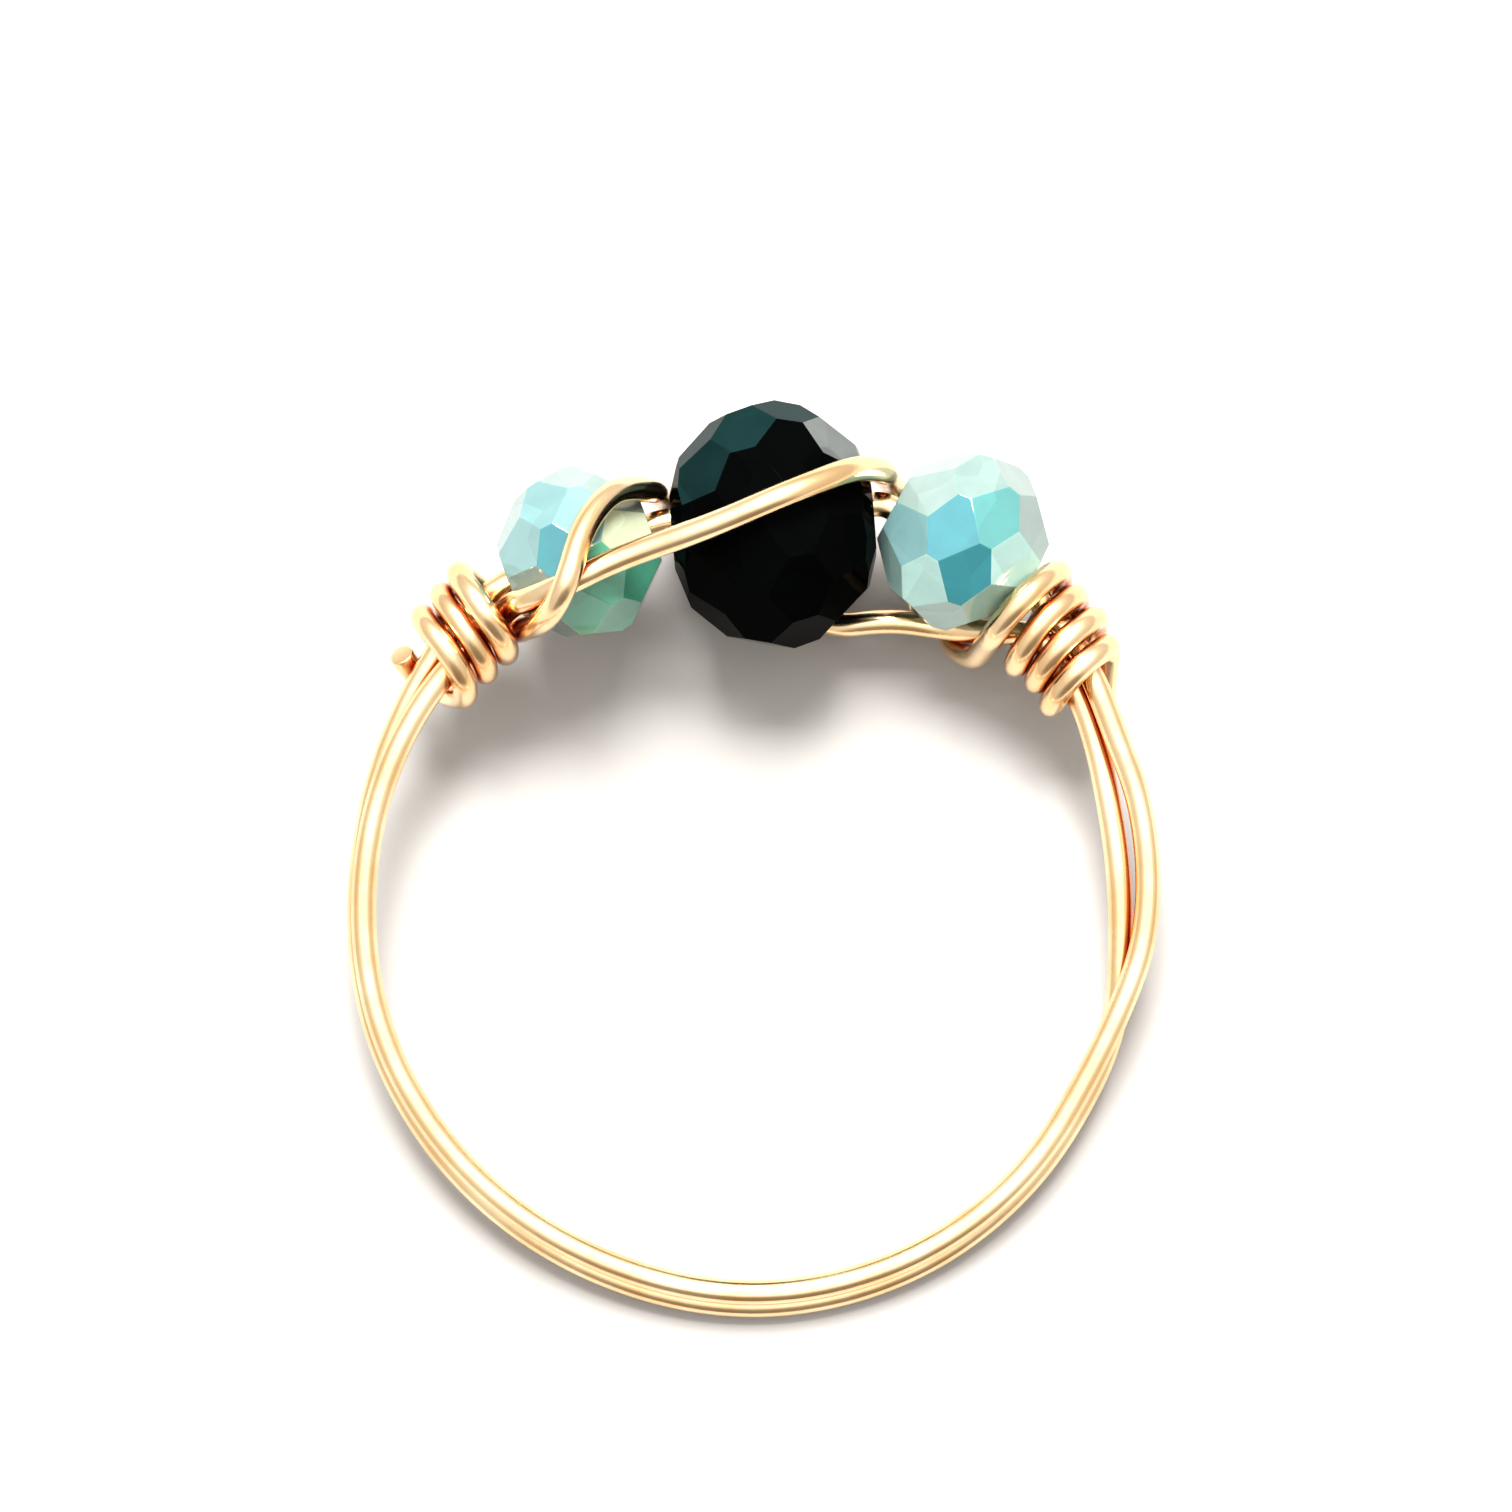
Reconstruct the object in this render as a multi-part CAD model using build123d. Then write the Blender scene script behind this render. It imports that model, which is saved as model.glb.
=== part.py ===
from build123d import *
import os
from collections import namedtuple
from math import acos, atan2, ceil, cos, degrees, radians, sin

# A finger ring wound from one length of wire. The wire starts as a cut end beside the left coil,
# winds that coil, loops over the left bead, dives under the black bead, runs beside the right
# bead, goes once round the finger, threads the three beads, goes round the finger again, crosses
# over the left and black beads, dives under the right bead and winds the right coil.
# Ring angles count from +X, anticlockwise, with the beads at +Y. Up to the last step, z is 0 in
# the plane of the wire that threads the beads.

# Driving sizes, in millimetres and degrees
WIRE_DIAMETER = 0.60
FINGER_BORE = 17.5
BLACK_DIAMETER = 5.86
BLACK_LENGTH = 4.80
LEFT_DIAMETER = 4.07
LEFT_LENGTH = 3.58
RIGHT_DIAMETER = 4.26
RIGHT_LENGTH = 3.68
HOLE_DIAMETER = 1.00
BLACK_HOLE_OFFSET = 0.30
LEFT_HOLE_OFFSET = 0.06
RIGHT_HOLE_OFFSET = -0.12
LEFT_GAP = 0.54
RIGHT_GAP = 0.52
BLACK_RING_ANGLE = 87.7
BLACK_SKEW = 7.0
BLACK_FACETS = 10
SIDE_FACETS = 8
TURN_GAP = 0.02
SEAT_GAP = 0.04
COIL_SLACK = 0.09
LEFT_EXIT_RISE = 0.72 * WIRE_DIAMETER
RIGHT_EXIT_RISE = 1.22 * WIRE_DIAMETER
BEND_INSET = 0.20
RIGHT_BEND_BEYOND = 0.08

# Sizes that follow
WIRE_RADIUS = WIRE_DIAMETER / 2
LAY = WIRE_DIAMETER + TURN_GAP
MEAN_RADIUS = FINGER_BORE / 2 + WIRE_DIAMETER
COIL_REACH = 1.5 * LAY + COIL_SLACK
LAY_ANGLE = degrees(LAY / MEAN_RADIUS)
LEFT_EXIT_RADIUS = MEAN_RADIUS + LEFT_EXIT_RISE
RIGHT_EXIT_RADIUS = MEAN_RADIUS + RIGHT_EXIT_RISE
STRAND_STEP = 8
COIL_STEP = 45
ARC_SHARE = 0.48
END_ARC_SHARE = 0.8
STRAIGHT_WITHIN = 0.01
REST_TILT = 9.0
REST_ROLL = 1.3

# Outline of a bead from its middle to its end: shares of half its length and of its radius
Knot = namedtuple("Knot", "along out")
SIDE_OUTLINE = (Knot(0.00, 1.00), Knot(0.46, 0.90), Knot(1.00, 0.41))
BLACK_OUTLINE = (Knot(0.00, 1.00), Knot(0.46, 0.90), Knot(0.89, 0.58), Knot(1.00, 0.30))

# The two strands round the finger, from the left bead's outer end to the right bead's: share of
# the way, offset of their middle from the mean radius in wires, spacing in lays, and roll of the
# line from the lower strand to the upper one
Pair = namedtuple("Pair", "share offset spacing roll")
PAIRS = (
    Pair(0.000, 0.36, 1.22, 178),
    Pair(0.038, 0.20, 1.13, 152),
    Pair(0.073, 0.12, 1.01, 122),
    Pair(0.116, 0.08, 1.00, 108),
    Pair(0.172, 0.03, 1.00, 102),
    Pair(0.257, 0.19, 1.00, 108),
    Pair(0.342, 0.10, 1.00, 116),
    Pair(0.427, 0.00, 1.00, 124),
    Pair(0.505, 0.06, 1.00, 125),
    Pair(0.590, -0.10, 1.00, 122),
    Pair(0.653, -0.33, 1.00, 115),
    Pair(0.717, -0.66, 1.01, 112),
    Pair(0.759, -0.64, 1.05, 104),
    Pair(0.802, -0.62, 1.10, 42),
    Pair(0.844, -0.58, 1.20, 15),
    Pair(0.887, -0.42, 1.20, 20),
    Pair(0.929, -0.18, 1.07, 66),
    Pair(0.943, 0.14, 1.08, 42),
    Pair(0.961, 0.36, 1.05, 12),
    Pair(0.979, 0.34, 1.02, 2),
    Pair(1.000, 0.30, 1.00, 0),
)
LOWER_STRAND_STOP = 2.54
UPPER_STRAND_STOP = 1.60
STRANDS_START = 2.00

# Turns of the coils: angle wound round the strands, lays along the ring from the coil's start,
# and reach as a share of the coil's radius
Turn = namedtuple("Turn", "wound laid reach")
LEFT_COIL_START = 1.05
LEFT_TURNS = (
    Turn(200, -0.05, 0.87),
    Turn(360, 0.15, 1.00),
    Turn(450, 0.34, 1.47),
    Turn(540, 1.02, 1.00),
    Turn(720, 1.08, 1.00),
    Turn(810, 1.34, 1.00),
    Turn(900, 2.20, 0.94),
    Turn(1080, 2.08, 1.00),
    Turn(1170, 2.38, 1.00),
    Turn(1260, 3.50, 0.86),
    Turn(1365, 4.10, 1.00),
)
RIGHT_COIL_START = 0.42
RIGHT_TURNS = (
    Turn(180, -0.05, 1.15),
    Turn(90, -0.27, 1.36),
    Turn(0, 0.20, 1.12),
    Turn(-90, 0.98, 1.08),
    Turn(-180, 1.54, 1.12),
    Turn(-270, 0.84, 1.00),
    Turn(-360, 1.14, 1.00),
    Turn(-450, 2.05, 1.00),
    Turn(-540, 2.62, 1.00),
    Turn(-630, 1.95, 1.00),
    Turn(-720, 2.13, 1.00),
    Turn(-810, 3.10, 0.97),
    Turn(-900, 3.80, 0.93),
    Turn(-990, 3.06, 1.00),
    Turn(-1080, 3.12, 0.86),
)

# Places beside the coils: wires outside the mean radius, lays from the coil's start, wires up
Place = namedtuple("Place", "out laid up")
LEFT_CUT_END = Place(1.70, 3.61, -0.62)
RIGHT_BULGE = Place(-2.50, 0.04, -1.83)
RIGHT_CUT_END = (Place(1.02, 3.93, -0.60), Place(0.54, 4.60, -0.92))
RIGHT_INNER = (Place(-1.05, 0.00, -1.25), Place(-0.22, 0.92, -0.20))
RIGHT_OUTER = Place(0.78, 0.66, 0.00)

# Seats of the wire on a bead: share of half its length, angle round it from the outside of the
# ring towards the viewer, and extra height in wires where the wire stands off
Seat = namedtuple("Seat", "along around lift")
LOOP_OVER_LEFT = (
    Seat(-1.04, 156, 0.30),
    Seat(-0.69, 121, 1.42),
    Seat(-0.25, 103, 1.57),
    Seat(0.12, 84, 0.54),
    Seat(0.50, 68, 0.30),
    Seat(0.83, 57, 0.70),
)
UNDER_BLACK = (
    Seat(-0.86, 284, 0.60),
    Seat(-0.45, 263, 0.30),
    Seat(0.05, 240, 0.30),
    Seat(0.48, 215, 0.20),
)
BESIDE_RIGHT = (Seat(-0.34, 211, 0.86), Seat(0.32, 217, 0.30))
OVER_LEFT = (
    Seat(-1.03, 118, 0.24),
    Seat(-0.87, 113, 0.55),
    Seat(-0.29, 106, 0.35),
    Seat(0.48, 103, 0.32),
)
OVER_BLACK = (
    Seat(-0.60, 91, 0.52),
    Seat(0.06, 82, 0.28),
    Seat(0.57, 73, 0.40),
    Seat(0.90, 62, 0.60),
)
UNDER_RIGHT = (
    Seat(-0.86, 279, 0.66),
    Seat(-0.30, 255, 0.44),
    Seat(0.20, 238, 0.86),
    Seat(0.52, 222, 1.48),
)

# Drops of the wire between two beads, outside the wire that threads them: lean towards +X,
# distance in lays, and the heights in wires where the drop starts and ends
Drop = namedtuple("Drop", "lean distance top bottom")
LEFT_DROP = Drop(-8, 1.15, 1.08, -1.92)
RIGHT_DROP = Drop(6, 1.10, 1.58, -1.67)


def on_ring(radius, angle, height=0.0):
    """A point given by its radius and ring angle."""
    return Vector(radius * cos(radians(angle)), radius * sin(radians(angle)), height)


def ring_angle(point):
    """The ring angle of a point."""
    return degrees(atan2(point.Y, point.X))


def between(rows, at):
    """The values of a table at one place, straight between its rows."""
    if at <= rows[0][0]:
        return rows[0][1:]
    for low, high in zip(rows, rows[1:]):
        if at <= high[0]:
            share = (at - low[0]) / (high[0] - low[0])
            return tuple(a + share * (b - a) for a, b in zip(low[1:], high[1:]))
    return rows[-1][1:]


class Bead:
    """A faceted bead on the straight stretch of wire that threads it."""

    def __init__(self, diameter, length, facets, outline, hole_middle, heading, hole_offset):
        self.radius = diameter / 2
        self.half = length / 2
        self.facets = facets
        self.outline = outline
        self.along = Vector(cos(radians(heading)), sin(radians(heading)), 0)
        self.across = Vector(-sin(radians(heading)), cos(radians(heading)), 0)
        self.hole_middle = hole_middle
        self.middle = hole_middle - self.across * hole_offset

    def on_axis(self, side, beyond=0.0):
        """A point on the hole's axis, past one end face by the length beyond."""
        return self.hole_middle + self.along * (side * (self.half + beyond))

    def seat(self, row):
        """The corner of the wire's route for one seat on this bead."""
        reach = between(self.outline, abs(row.along))[0] * self.radius
        out = reach + SEAT_GAP + WIRE_RADIUS + row.lift * WIRE_DIAMETER
        turned = radians(row.around)
        return (
            self.middle
            + self.along * (row.along * self.half)
            + self.across * (out * cos(turned))
            + Vector(0, 0, out * sin(turned))
        )

    def facet_planes(self):
        """One plane for each facet, as its normal and its distance from the middle."""
        step = 360 / self.facets
        trim = cos(radians(step / 4))
        planes = []
        for side in (-1, 1):
            for row, (inner, outer) in enumerate(zip(self.outline, self.outline[1:])):
                rise = (outer.along - inner.along) * self.half
                fall = (inner.out - outer.out) * self.radius * trim
                tilt = atan2(fall, rise)
                distance = inner.along * self.half * sin(tilt)
                distance += inner.out * self.radius * trim * cos(tilt)
                shift = step / 2 * ((row + (side > 0)) % 2)
                for facet in range(self.facets):
                    turned = radians(shift + facet * step)
                    radial = self.across * cos(turned) + Vector(0, 0, sin(turned))
                    normal = radial * cos(tilt) + self.along * (side * sin(tilt))
                    planes.append((normal, distance))
            planes.append((self.along * side, self.half))
        return planes

    def solid(self):
        """The drilled bead, cut facet by facet from a block."""
        block_side = 4 * (self.radius + self.half)
        body = Pos(self.middle) * Box(block_side, block_side, block_side)
        for normal, distance in self.facet_planes():
            face = Plane(origin=self.middle + normal * distance, z_dir=normal)
            body = split(body, bisect_by=face, keep=Keep.BOTTOM)
        drill_plane = Plane(origin=self.hole_middle, z_dir=self.along)
        drill = drill_plane * Cylinder(HOLE_DIAMETER / 2, block_side)
        return (body - drill).solid()


def far_end(start, length, radius, side):
    """The point at a length from start that lies at a radius from the ring's centre."""
    out = start.length
    opening = acos((out * out + length * length - radius * radius) / (2 * out * length))
    heading = atan2(-start.Y, -start.X) + side * opening
    return start + Vector(cos(heading), sin(heading), 0) * length


def bead_row():
    """The three beads, each on its own straight stretch of the threading wire."""
    middle = on_ring(MEAN_RADIUS, BLACK_RING_ANGLE)
    heading = BLACK_RING_ANGLE - 90 + BLACK_SKEW
    black = Bead(BLACK_DIAMETER, BLACK_LENGTH, BLACK_FACETS, BLACK_OUTLINE, middle, heading,
                 BLACK_HOLE_OFFSET)
    left_bend = black.on_axis(-1, LEFT_GAP / 2)
    right_bend = black.on_axis(1, RIGHT_GAP / 2)
    left_exit = far_end(left_bend, LEFT_GAP / 2 + LEFT_LENGTH, LEFT_EXIT_RADIUS, -1)
    right_exit = far_end(right_bend, RIGHT_GAP / 2 + RIGHT_LENGTH, RIGHT_EXIT_RADIUS, 1)
    left = side_bead(LEFT_DIAMETER, LEFT_LENGTH, LEFT_HOLE_OFFSET, left_exit, left_bend, 1)
    right = side_bead(RIGHT_DIAMETER, RIGHT_LENGTH, RIGHT_HOLE_OFFSET, right_bend, right_exit, -1)
    return left, black, right, left_bend, right_bend


def side_bead(diameter, length, hole_offset, start, stop, outer_side):
    """A side bead between two points of the wire; outer_side 1 sits it at start, -1 at stop."""
    along = (stop - start).normalized()
    outer = start if outer_side > 0 else stop
    middle = outer + along * (outer_side * length / 2)
    return Bead(diameter, length, SIDE_FACETS, SIDE_OUTLINE, middle, ring_angle(along),
                hole_offset)


class FingerRound:
    """The way of the wire round the finger, between the outer ends of the side beads."""

    def __init__(self, left, right):
        self.left_end = ring_angle(left.on_axis(-1)) - 360
        self.right_end = ring_angle(right.on_axis(1))
        self.left_start = self.left_end + LEFT_COIL_START * LAY_ANGLE
        self.right_start = self.right_end - RIGHT_COIL_START * LAY_ANGLE

    def pair(self, angle):
        """Middle radius, half spacing and roll of the two strands at a ring angle."""
        share = (angle - self.left_end) / (self.right_end - self.left_end)
        offset, spacing, roll = between(PAIRS, share)
        return MEAN_RADIUS + offset * WIRE_DIAMETER, spacing * LAY / 2, radians(roll)

    def strand(self, side, stop):
        """The upper strand, side 1, or the lower one, side -1, from right to left."""
        start = self.right_start - STRANDS_START * LAY_ANGLE
        steps = ceil((start - self.left_end - stop * LAY_ANGLE) / STRAND_STEP)
        step = (start - self.left_end - stop * LAY_ANGLE) / steps
        corners = []
        for count in range(steps + 1):
            angle = start - count * step
            middle, half, roll = self.pair(angle)
            radius = (middle + side * half * cos(roll)) / cos(radians(step / 2))
            corners.append(on_ring(radius, angle, side * half * sin(roll)))
        return corners

    def coil(self, turns, start, side):
        """A coil that winds away from the beads, towards larger ring angles with side 1."""
        rows = [(row.wound, start + side * row.laid * LAY_ANGLE, row.reach) for row in turns]
        corners = [self.coil_corner(*rows[0])]
        for low, high in zip(rows, rows[1:]):
            steps = round(abs(high[0] - low[0]) / COIL_STEP)
            for step in range(1, steps + 1):
                corner = [a + step / steps * (b - a) for a, b in zip(low, high)]
                corners.append(self.coil_corner(*corner))
        return corners

    def coil_corner(self, wound, angle, reach):
        """A corner of a coil's wire, wound round the middle of the two strands."""
        out = reach * COIL_REACH / cos(radians(COIL_STEP / 2))
        radius = self.pair(angle)[0] + out * cos(radians(wound))
        return on_ring(radius, angle, out * sin(radians(wound)))


def place(row, start, side):
    """A corner beside a coil."""
    radius = MEAN_RADIUS + row.out * WIRE_DIAMETER
    return on_ring(radius, start + side * row.laid * LAY_ANGLE, row.up * WIRE_DIAMETER)


def drop(row, bend):
    """The two corners of the wire's drop between two beads."""
    foot = bend + Vector(sin(radians(row.lean)), cos(radians(row.lean)), 0) * (row.distance * LAY)
    return [foot + Vector(0, 0, height * WIRE_DIAMETER) for height in (row.top, row.bottom)]


def wire_route(left, black, right, left_bend, right_bend):
    """Every corner of the wire, from the left cut end to the right one."""
    finger = FingerRound(left, right)
    left_start = finger.left_start
    right_start = finger.right_start

    corners = [place(LEFT_CUT_END, left_start, 1)]
    corners += reversed(finger.coil(LEFT_TURNS, left_start, 1))
    corners += [left.seat(row) for row in LOOP_OVER_LEFT]
    corners += drop(LEFT_DROP, left_bend)
    corners += [black.seat(row) for row in UNDER_BLACK]
    corners += [right.seat(row) for row in BESIDE_RIGHT]
    corners += [place(row, right_start, -1) for row in RIGHT_INNER]
    corners += finger.strand(-1, LOWER_STRAND_STOP)
    corners += [left.on_axis(-1), left.on_axis(1, -BEND_INSET), left_bend]
    corners += [black.on_axis(-1, -BEND_INSET), black.on_axis(1, -BEND_INSET), right_bend]
    corners += [right.on_axis(-1, -BEND_INSET), right.on_axis(1, RIGHT_BEND_BEYOND)]
    corners += [place(RIGHT_OUTER, right_start, -1)]
    corners += finger.strand(1, UPPER_STRAND_STOP)
    corners += [left.seat(row) for row in OVER_LEFT]
    corners += [black.seat(row) for row in OVER_BLACK]
    corners += drop(RIGHT_DROP, right_bend)
    corners += [right.seat(row) for row in UNDER_RIGHT]
    corners += [place(RIGHT_BULGE, right_start, -1)]
    corners += finger.coil(RIGHT_TURNS, right_start, -1)
    corners += [place(row, right_start, -1) for row in RIGHT_CUT_END]
    return corners


def rounded_path(corners):
    """The wire's centre line, straight runs joined by arcs that touch them."""
    runs = [(after - before).length for before, after in zip(corners, corners[1:])]
    rooms = [END_ARC_SHARE * runs[0]]
    rooms += [ARC_SHARE * run for run in runs[1:-1]]
    rooms += [END_ARC_SHARE * runs[-1]]
    edges = []
    reached = corners[0]
    for index, corner in enumerate(corners[1:-1], start=1):
        arriving = (corner - corners[index - 1]).normalized()
        leaving = (corners[index + 1] - corner).normalized()
        room = min(rooms[index - 1], rooms[index])
        arc_start = corner - arriving * room
        arc_stop = corner + leaving * room
        edges.append(Edge.make_line(reached, arc_start))
        if arriving.get_angle(leaving) > STRAIGHT_WITHIN:
            edges.append(Edge.make_tangent_arc(arc_start, arriving, arc_stop))
        else:
            edges.append(Edge.make_line(arc_start, arc_stop))
        reached = arc_stop
    edges.append(Edge.make_line(reached, corners[-1]))
    return Wire(edges)


def round_wire(corners):
    """The wire as one solid rod of round section along its centre line."""
    path = rounded_path(corners)
    section_plane = Plane(origin=corners[0], z_dir=(corners[1] - corners[0]).normalized())
    section = section_plane * Circle(WIRE_RADIUS)
    return sweep(section, path=path).solid()


def at_rest(pieces):
    """The pieces as the ring lies by itself, the origin below the middle of its outline."""
    turn = Rot(0, REST_ROLL, 0) * Rot(REST_TILT, 0, 0)
    turned = {name: turn * piece for name, piece in pieces.items()}
    box = Compound(list(turned.values())).bounding_box()
    middle = box.center()
    return {name: Pos(-middle.X, -middle.Y, -box.min.Z) * piece for name, piece in turned.items()}


def main():
    left, black, right, left_bend, right_bend = bead_row()
    pieces = {
        "wire": round_wire(wire_route(left, black, right, left_bend, right_bend)),
        "black_bead": black.solid(),
        "left_bead": left.solid(),
        "right_bead": right.solid(),
    }
    os.makedirs("parts", exist_ok=True)
    for name, piece in at_rest(pieces).items():
        export_step(piece, f"parts/{name}.step")


if __name__ == "__main__":
    main()
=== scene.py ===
from collections import namedtuple
from math import acos, atan2, ceil, cos, degrees, pi, radians, sin

import bmesh
import bpy
from bpy.props import FloatProperty, FloatVectorProperty, IntProperty, PointerProperty
from mathutils import Matrix, Vector, noise


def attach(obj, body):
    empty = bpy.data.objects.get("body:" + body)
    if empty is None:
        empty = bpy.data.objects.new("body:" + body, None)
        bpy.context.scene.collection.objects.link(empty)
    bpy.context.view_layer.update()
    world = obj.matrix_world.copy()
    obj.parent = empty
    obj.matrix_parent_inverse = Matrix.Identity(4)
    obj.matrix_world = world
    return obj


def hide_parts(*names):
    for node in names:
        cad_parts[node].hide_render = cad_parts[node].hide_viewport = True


bl_info = {
    "name": "Wire wrapped ring",
    "version": (1, 0, 0),
    "blender": (4, 5, 0),
    "location": "View3D > Sidebar > Ring",
    "description": "Finger ring wound from one gold wire, with three faceted glass beads",
    "category": "Add Mesh",
}

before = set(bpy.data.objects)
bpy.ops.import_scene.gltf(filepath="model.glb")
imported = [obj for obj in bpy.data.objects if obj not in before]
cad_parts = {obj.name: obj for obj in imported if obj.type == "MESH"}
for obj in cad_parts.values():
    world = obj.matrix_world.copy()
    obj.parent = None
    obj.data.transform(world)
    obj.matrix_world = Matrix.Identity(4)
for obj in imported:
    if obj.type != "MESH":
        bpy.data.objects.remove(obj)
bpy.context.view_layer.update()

# A millimetre in Blender's metres; the named sizes below are in millimetres and degrees
MM = 0.001

# Driving sizes
WIRE_DIAMETER = 0.60
FINGER_BORE = 17.5
BLACK_DIAMETER = 5.86
BLACK_LENGTH = 4.80
LEFT_DIAMETER = 4.07
LEFT_LENGTH = 3.58
RIGHT_DIAMETER = 4.26
RIGHT_LENGTH = 3.68
BLACK_HOLE_OFFSET = 0.30
LEFT_HOLE_OFFSET = 0.06
RIGHT_HOLE_OFFSET = -0.12
LEFT_GAP = 0.54
RIGHT_GAP = 0.52
BLACK_RING_ANGLE = 87.7
BLACK_SKEW = 7.0
TURN_GAP = 0.02
SEAT_GAP = 0.04
COIL_SLACK = 0.09
LEFT_EXIT_RISE = 0.72 * WIRE_DIAMETER
RIGHT_EXIT_RISE = 1.22 * WIRE_DIAMETER
BEND_INSET = 0.20
RIGHT_BEND_BEYOND = 0.08
STRAND_STEP = 8
COIL_STEP = 45
REST_TILT = 9.0
REST_ROLL = 1.3

# Sizes that follow
WIRE_RADIUS = WIRE_DIAMETER / 2
LAY = WIRE_DIAMETER + TURN_GAP
MEAN_RADIUS = FINGER_BORE / 2 + WIRE_DIAMETER
COIL_REACH = 1.5 * LAY + COIL_SLACK
LAY_ANGLE = degrees(LAY / MEAN_RADIUS)
LEFT_EXIT_RADIUS = MEAN_RADIUS + LEFT_EXIT_RISE
RIGHT_EXIT_RADIUS = MEAN_RADIUS + RIGHT_EXIT_RISE

# Outline of a bead from its middle to its end: shares of half its length and of its radius
Knot = namedtuple("Knot", "along out")
SIDE_OUTLINE = (Knot(0.00, 1.00), Knot(0.46, 0.90), Knot(1.00, 0.41))
BLACK_OUTLINE = (Knot(0.00, 1.00), Knot(0.46, 0.90), Knot(0.89, 0.58), Knot(1.00, 0.30))

# The two strands round the finger, from the left bead's outer end to the right bead's: share of
# the way, offset of their middle from the mean radius in wires, spacing in lays, and roll of the
# line from the lower strand to the upper one
Pair = namedtuple("Pair", "share offset spacing roll")
PAIRS = (
    Pair(0.000, 0.36, 1.22, 178),
    Pair(0.038, 0.20, 1.13, 152),
    Pair(0.073, 0.12, 1.01, 122),
    Pair(0.116, 0.08, 1.00, 108),
    Pair(0.172, 0.03, 1.00, 102),
    Pair(0.257, 0.19, 1.00, 108),
    Pair(0.342, 0.10, 1.00, 116),
    Pair(0.427, 0.00, 1.00, 124),
    Pair(0.505, 0.06, 1.00, 125),
    Pair(0.590, -0.10, 1.00, 122),
    Pair(0.653, -0.33, 1.00, 115),
    Pair(0.717, -0.66, 1.01, 112),
    Pair(0.759, -0.64, 1.05, 104),
    Pair(0.802, -0.62, 1.10, 42),
    Pair(0.844, -0.58, 1.20, 15),
    Pair(0.887, -0.42, 1.20, 20),
    Pair(0.929, -0.18, 1.07, 66),
    Pair(0.943, 0.14, 1.08, 42),
    Pair(0.961, 0.36, 1.05, 12),
    Pair(0.979, 0.34, 1.02, 2),
    Pair(1.000, 0.30, 1.00, 0),
)
LOWER_STRAND_STOP = 2.54
UPPER_STRAND_STOP = 1.60
STRANDS_START = 2.00

# Turns of the coils: angle wound round the strands, lays along the ring from the coil's start,
# and reach as a share of the coil's radius
Turn = namedtuple("Turn", "wound laid reach")
LEFT_COIL_START = 1.05
LEFT_TURNS = (
    Turn(200, -0.05, 0.87),
    Turn(360, 0.15, 1.00),
    Turn(450, 0.34, 1.47),
    Turn(540, 1.02, 1.00),
    Turn(720, 1.08, 1.00),
    Turn(810, 1.34, 1.00),
    Turn(900, 2.20, 0.94),
    Turn(1080, 2.08, 1.00),
    Turn(1170, 2.38, 1.00),
    Turn(1260, 3.50, 0.86),
    Turn(1365, 4.10, 1.00),
)
RIGHT_COIL_START = 0.42
RIGHT_TURNS = (
    Turn(180, -0.05, 1.15),
    Turn(90, -0.27, 1.36),
    Turn(0, 0.20, 1.12),
    Turn(-90, 0.98, 1.08),
    Turn(-180, 1.54, 1.12),
    Turn(-270, 0.84, 1.00),
    Turn(-360, 1.14, 1.00),
    Turn(-450, 2.05, 1.00),
    Turn(-540, 2.62, 1.00),
    Turn(-630, 1.95, 1.00),
    Turn(-720, 2.13, 1.00),
    Turn(-810, 3.10, 0.97),
    Turn(-900, 3.80, 0.93),
    Turn(-990, 3.06, 1.00),
    Turn(-1080, 3.12, 0.86),
)

# Places beside the coils: wires outside the mean radius, lays from the coil's start, wires up
Place = namedtuple("Place", "out laid up")
LEFT_CUT_END = Place(1.70, 3.61, -0.62)
RIGHT_BULGE = Place(-2.50, 0.04, -1.83)
RIGHT_CUT_END = (Place(1.02, 3.93, -0.60), Place(0.54, 4.60, -0.92))
RIGHT_INNER = (Place(-1.05, 0.00, -1.25), Place(-0.22, 0.92, -0.20))
RIGHT_OUTER = Place(0.78, 0.66, 0.00)

# Seats of the wire on a bead: share of half its length, angle round it from the outside of the
# ring towards the viewer, and extra height in wires where the wire stands off
Seat = namedtuple("Seat", "along around lift")
LOOP_OVER_LEFT = (
    Seat(-1.04, 156, 0.30),
    Seat(-0.69, 121, 1.42),
    Seat(-0.25, 103, 1.57),
    Seat(0.12, 84, 0.54),
    Seat(0.50, 68, 0.30),
    Seat(0.83, 57, 0.70),
)
UNDER_BLACK = (
    Seat(-0.86, 284, 0.60),
    Seat(-0.45, 263, 0.30),
    Seat(0.05, 240, 0.30),
    Seat(0.48, 215, 0.20),
)
BESIDE_RIGHT = (Seat(-0.34, 211, 0.86), Seat(0.32, 217, 0.30))
OVER_LEFT = (
    Seat(-1.03, 118, 0.24),
    Seat(-0.87, 113, 0.55),
    Seat(-0.29, 106, 0.35),
    Seat(0.48, 103, 0.32),
)
OVER_BLACK = (
    Seat(-0.60, 91, 0.52),
    Seat(0.06, 82, 0.28),
    Seat(0.57, 73, 0.40),
    Seat(0.90, 62, 0.60),
)
UNDER_RIGHT = (
    Seat(-0.86, 279, 0.66),
    Seat(-0.30, 255, 0.44),
    Seat(0.20, 238, 0.86),
    Seat(0.52, 222, 1.48),
)

# Drops of the wire between two beads, outside the wire that threads them: lean towards +X,
# distance in lays, and the heights in wires where the drop starts and ends
Drop = namedtuple("Drop", "lean distance top bottom")
LEFT_DROP = Drop(-8, 1.15, 1.08, -1.92)
RIGHT_DROP = Drop(6, 1.10, 1.58, -1.67)

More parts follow.
